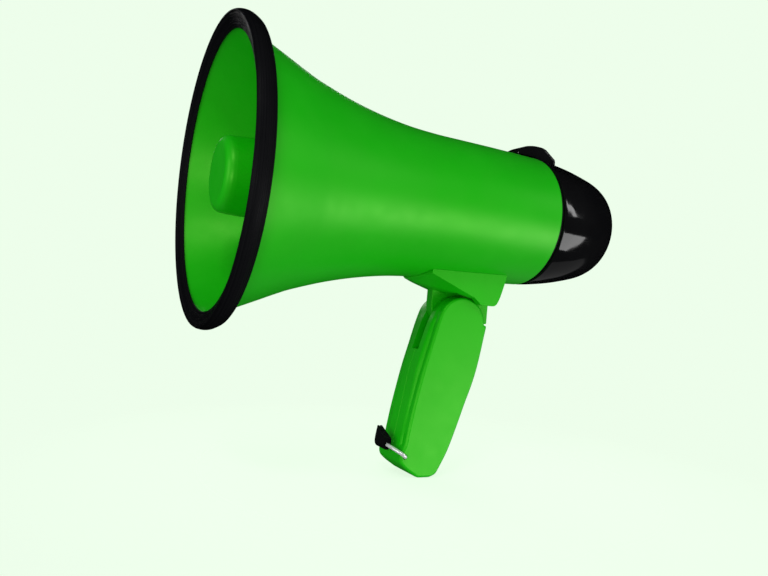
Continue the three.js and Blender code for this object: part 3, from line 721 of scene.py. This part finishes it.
def add_slider():
    knob = on_facet(block((-2.6, 2.6), (-2.8, 2.8), (-1.1, 0.5)))
    grooves = [on_facet(block((-3, 3), (y, y + 0.4), (0.25, 1))) for y in (-1.7, -0.5, 0.7, 1.9)]
    carved(knob, *grooves)
    stem = on_facet(block((-1, 1), (-1.4, 1.4), (-3.5, -1)))
    united(knob, stem)
    placed(knob, "mode_knob", "mode_slider", "gloss_black_plastic", ("mode_slider",), 30, 0.12)


def add_rear_unit():
    add_rear_cap()
    seal = turned("seal", [
        (199.8, 37.7), (199.8, 39), (200.1, 39.3), (201.3, 39.3), (201.6, 39), (201.6, 37.7),
    ])
    placed(seal, "joint_seal", "rear_unit", "black_rubber", ("cap_seal",))
    add_grille()
    add_wheel()
    add_slider()


# Bracket and handle

PIVOT_X = 154
PIVOT_Z = -66
PIN_HOLE = 3.3
WASHER_ROOM = 7.4
ARCH_Z = -67.8  # the middle of the handle's round top
BRACKET_HALF = 19.5
SADDLE_FRONT = [
    (157.2, -35, 0), (127.6, -35, 0), (126.8, -39.8, 0.8), (134.5, -42.5), (147.8, -47.8), (157.2, -51.6, 0),
]
SADDLE_KEEL = [
    (157.2, -35, 0), (121.2, -35, 0), (121.2, -43.5, 0.8), (127.2, -45.9), (137.6, -48.7), (157.2, -53.2, 0),
]
SADDLE_REAR = [
    (155, -35, 0), (155, -50.5, 0), (157.2, -51.6), (162.2, -55.5, 3), (172.4, -55.7, 4), (174.8, -51.4),
    (176.2, -47.2), (178, -41), (179.4, -35, 0),
]


def arc(cx, cz, radius, start, end, count):
    """Points along part of a circle, between two angles."""
    turns = [start + (end - start) * i / (count - 1) for i in range(count)]
    return [(cx + radius * math.cos(a), cz + radius * math.sin(a)) for a in turns]


def wrapped(name, *sections):
    """The convex solid round some (x, z) outlines, each given with how far it reaches to both sides."""
    bm = bmesh.new()
    for corners, half in sections:
        for p in rounded(corners, 0, 6):
            bm.verts.new((p.x, -half, p.y))
            bm.verts.new((p.x, half, p.y))
    found = bmesh.ops.convex_hull(bm, input=bm.verts)
    bmesh.ops.delete(bm, geom=found["geom_interior"], context="VERTS")
    return as_object(name, bm)


def add_bracket():
    saddle = wrapped("saddle", (SADDLE_FRONT, BRACKET_HALF), (SADDLE_KEEL, 3))
    united(saddle, slab("rear", SADDLE_REAR, -BRACKET_HALF, BRACKET_HALF))
    carved(saddle, cross_rod(17.6, -14.6, 14.6, PIVOT_X, PIVOT_Z, 96))
    foot = arc(PIVOT_X, PIVOT_Z, 11.5, math.pi * 1.08, math.pi * 1.97, 10)
    neck = slab("neck", [
        (137.8, -38, 0.5), (137.8, -61), *foot, (165.6, -67, 1), (178.7, -67, 0.8), (178.7, -38, 0.5),
    ], -3.2, 3.2, 0.5, 0.5)
    united(saddle, neck)
    carved(saddle, barrel_room(0.1), cross_rod(PIN_HOLE, -10, 10, PIVOT_X, PIVOT_Z))
    placed(saddle, "bracket", "megaphone_body", "green_plastic", ("handle_bracket",), 30, 0.4)


FOOT = [
    (119.4, -146), (120.2, -149.3), (123.6, -152.4), (127.6, -155), (132, -157.8, 6), (140.4, -157.8, 5),
    (144.4, -156.2, 5),
]
REAR_EDGE = [
    (146.6, -152.4), (151.3, -143.3), (154.6, -134), (157.8, -124.5), (160.7, -115), (164.2, -105.4),
    (166.9, -96), (168.9, -86), (170.4, -76.5), (171.9, -67.8),
]
CHEEK_OUTLINE = [
    *FOOT, *REAR_EDGE, *arc(PIVOT_X, ARCH_Z, 16, 0.02, math.pi * 0.93, 13), (136.6, -70),
    (133.4, -82.5), (129.6, -97), (124.9, -120.8), (122.9, -134), (122.2, -139.4), (120.4, -142.4),
]
CORE_OUTLINE = [
    *FOOT, *[(x - 0.8, z) for x, z in REAR_EDGE],
    *arc(PIVOT_X, ARCH_Z, 16.6, 0.3, math.pi * 0.92, 11), (136.2, -67), (134, -74), (132, -81),
    (128.7, -93), (124.8, -117), (121.8, -136), (121, -140.4), (119.9, -143),
]
HANDLE_POSTS = [(150, -94), (141, -121), (134, -147)]
SEAM = 0.005  # from the middle plane to each half
SEAM_ROUND = 0.3
CORE_HALF = 11
CHEEK_HALF = 13.8


def shell_half(takes_heads):
    """Half of the handle on the +Y side: a rounded core with a raised cheek. It's hollow round the neck."""
    core = slab("core", CORE_OUTLINE, SEAM, CORE_HALF, 4, SEAM_ROUND)
    cheek = slab("cheek", CHEEK_OUTLINE, 4 * SEAM, CHEEK_HALF, 1.6, SEAM_ROUND)
    united(core, cheek)
    tools = [
        block((120, 190), (-5, 3.5), (-67.3, -40)),
        block((120, 146), (-5, 3.5), (-84.5, -60)),
        cross_rod(PIN_HOLE, -5, 11.3, PIVOT_X, PIVOT_Z),
        cross_rod(WASHER_ROOM, -5, 4.2, PIVOT_X, PIVOT_Z),
        cross_rod(1.5, 10, 16, BAIL.x, BAIL.y),
        slab("room", [(139, -72, 3), (169, -72, 3), (166, -86, 3), (143, -86, 3)], -5, 9, steps=3),
    ]
    if takes_heads:
        tools += [cross_rod(2.9, 7.9, 20, x, z) for x, z in HANDLE_POSTS]
    return carved(core, *tools)


def add_handle():
    right = shell_half(True)
    placed(right, "handle_half_right", "handle", "green_plastic", ("handle_shell_right",), 30)
    left = mirrored(shell_half(False))
    placed(left, "handle_half_left", "handle", "green_plastic", ("handle_shell_left",), 30)
    for i, (x, z) in enumerate(HANDLE_POSTS):
        head = turned("head", [
            (-6.4, 0), (-6, 1.1), (0, 1.1), (0, 2.6), (0.7, 2.6), (1.3, 2.3), (1.7, 1.5), (1.8, 0),
        ], 40)
        cross = united(block((0.7, 3), (-1.5, 1.5), (-0.3, 0.3)), block((0.7, 3), (-0.3, 0.3), (-1.5, 1.5)))
        carved(head, cross)
        moved(head, x, 8.2, z, math.pi / 2, "Z")
        node = f"handle_screw_{i + 1}"
        placed(head, f"shell_screw_{i + 1}", "handle", "plated_steel", (node,), 30)


# Strap

BAIL = Vector((122.7, -145.4))  # x and z of the ends that turn in the handle
BAIL_BAR = Vector((115, -140.2))  # x and z of the crossbar
BAIL_WIRE = 1.05


def swept(name, path, radius, sides=20):
    """A round wire along a path of points, closed at both ends."""
    bm = bmesh.new()
    rings = []
    side = Vector((0, 1, 0)).cross(path[1] - path[0])
    side = side if side.length > 1e-6 else Vector((1, 0, 0))
    for i, point in enumerate(path):
        way = (path[min(i + 1, len(path) - 1)] - path[max(i - 1, 0)]).normalized()
        side = (side - way * side.dot(way)).normalized()
        other = way.cross(side)
        angles = [2 * math.pi * k / sides for k in range(sides)]
        spokes = [math.cos(a) * side + math.sin(a) * other for a in angles]
        rings.append([bm.verts.new(point + radius * spoke) for spoke in spokes])
    for one, following in zip(rings, rings[1:]):
        for k in range(sides):
            j = (k + 1) % sides
            bm.faces.new((one[k], one[j], following[j], following[k]))
    bm.faces.new(rings[0])
    bm.faces.new(rings[-1])
    return as_object(name, bm)


def add_bail():
    reach = BAIL_BAR - BAIL
    bar_at = reach.length
    half = [
        (bar_at, 0), (bar_at, 5), (bar_at - 0.4, 7.6), (bar_at - 2.2, 11.4), (4.8, 14.6), (3.2, 15.3),
        (1.6, 15.3), (0.4, 14.6), (0, 13.3), (0, 11.9),
    ]
    whole = [(along, -y) for along, y in half[:0:-1]] + half
    line = smooth_curve(whole, 8)
    path = [Vector((BAIL.x + reach.x * a / bar_at, y, BAIL.y + reach.y * a / bar_at)) for a, y in line]
    placed(swept("bail", path, BAIL_WIRE), "wire_bail", "strap_bail", "bright_wire", ("strap_bail",), 40)


def add_tab():
    outline = [
        (113.4, -130), (114.6, -130, 0.2), (114.8, -136, 0.2), (115.0, -130, 0.2), (116.2, -130),
        (117.3, -136), (117.8, -140), (116.8, -142.5), (115, -143.3), (113.2, -142.6), (112.1, -140.5),
        (112.3, -137),
    ]
    tab = slab("tab", outline, -5.5, 5.5, 0.35, 0.35)
    slant = moved(block((105, 125), (-20, 20), (0, 12)), 0, 0, -133.75, math.atan(0.5), "X")
    loop = cross_rod(1.3, -12, 12, BAIL_BAR.x, BAIL_BAR.y)
    carved(tab, loop, slant)
    placed(tab, "webbing_tab", "strap_tab", "black_webbing", ("strap_tab",), 40)


FLOOR_RADIUS = 0.4  # m
FLOOR_ROUND = 96
FLOOR_GLOW = 0.86
FADE_START = 0.06  # m from the handle's foot
FADE_END = 0.24


def add_floor():
    """A pale floor that fades into the backdrop round the megaphone and isn't seen from below."""
    bm = bmesh.new()
    foot_low, foot_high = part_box("handle_shell_right")
    middle = Vector(((foot_low.x + foot_high.x) / 2, 0, cad_low.z - 0.0003))
    centre = bm.verts.new(middle)
    turns = [2 * math.pi * i / FLOOR_ROUND for i in range(FLOOR_ROUND)]
    ring = [bm.verts.new(middle + FLOOR_RADIUS * Vector((math.cos(a), math.sin(a), 0))) for a in turns]
    for one, other in zip(ring, ring[1:] + ring[:1]):
        bm.faces.new((centre, one, other))
    floor = as_object("floor", bm, closed_faces=False)
    floor.visible_shadow = False
    floor.visible_glossy = False
    floor.visible_diffuse = False
    material, tree, shader = blank("pale_floor", (0.22, 0.26, 0.22), 0.9)
    shader.inputs["Specular IOR Level"].default_value = 0
    shader.inputs["Emission Color"].default_value = PALE
    shader.inputs["Emission Strength"].default_value = FLOOR_GLOW
    place = tree.nodes.new("ShaderNodeTexCoord")
    away = tree.nodes.new("ShaderNodeVectorMath")
    away.operation = "DISTANCE"
    away.inputs[1].default_value = middle
    tree.links.new(place.outputs["Object"], away.inputs[0])
    shown = tree.nodes.new("ShaderNodeMath")
    shown.operation = "SUBTRACT"
    shown.use_clamp = True
    spread(tree, away.outputs["Value"], 1, 0, shown.inputs[0], FADE_START, FADE_END)
    facing = tree.nodes.new("ShaderNodeNewGeometry")
    tree.links.new(facing.outputs["Backfacing"], shown.inputs[1])
    tree.links.new(shown.outputs["Value"], shader.inputs["Alpha"])
    floor.data.materials.append(material)


def dress_frame():
    """Gives every CAD node that still shows the look of its material slot."""
    for subpart in frame["record"]["subparts"]:
        node = frame["nodes"][subpart["node"]]
        for slot in node.material_slots:
            slot.material = looks[subpart["material_slot"]]


add_camera()
add_studio()
add_floor()
dress_frame()
add_horn()
add_rim()
add_reflector()
add_throat()
add_rear_unit()
add_bracket()
add_handle()
add_bail()
add_tab()
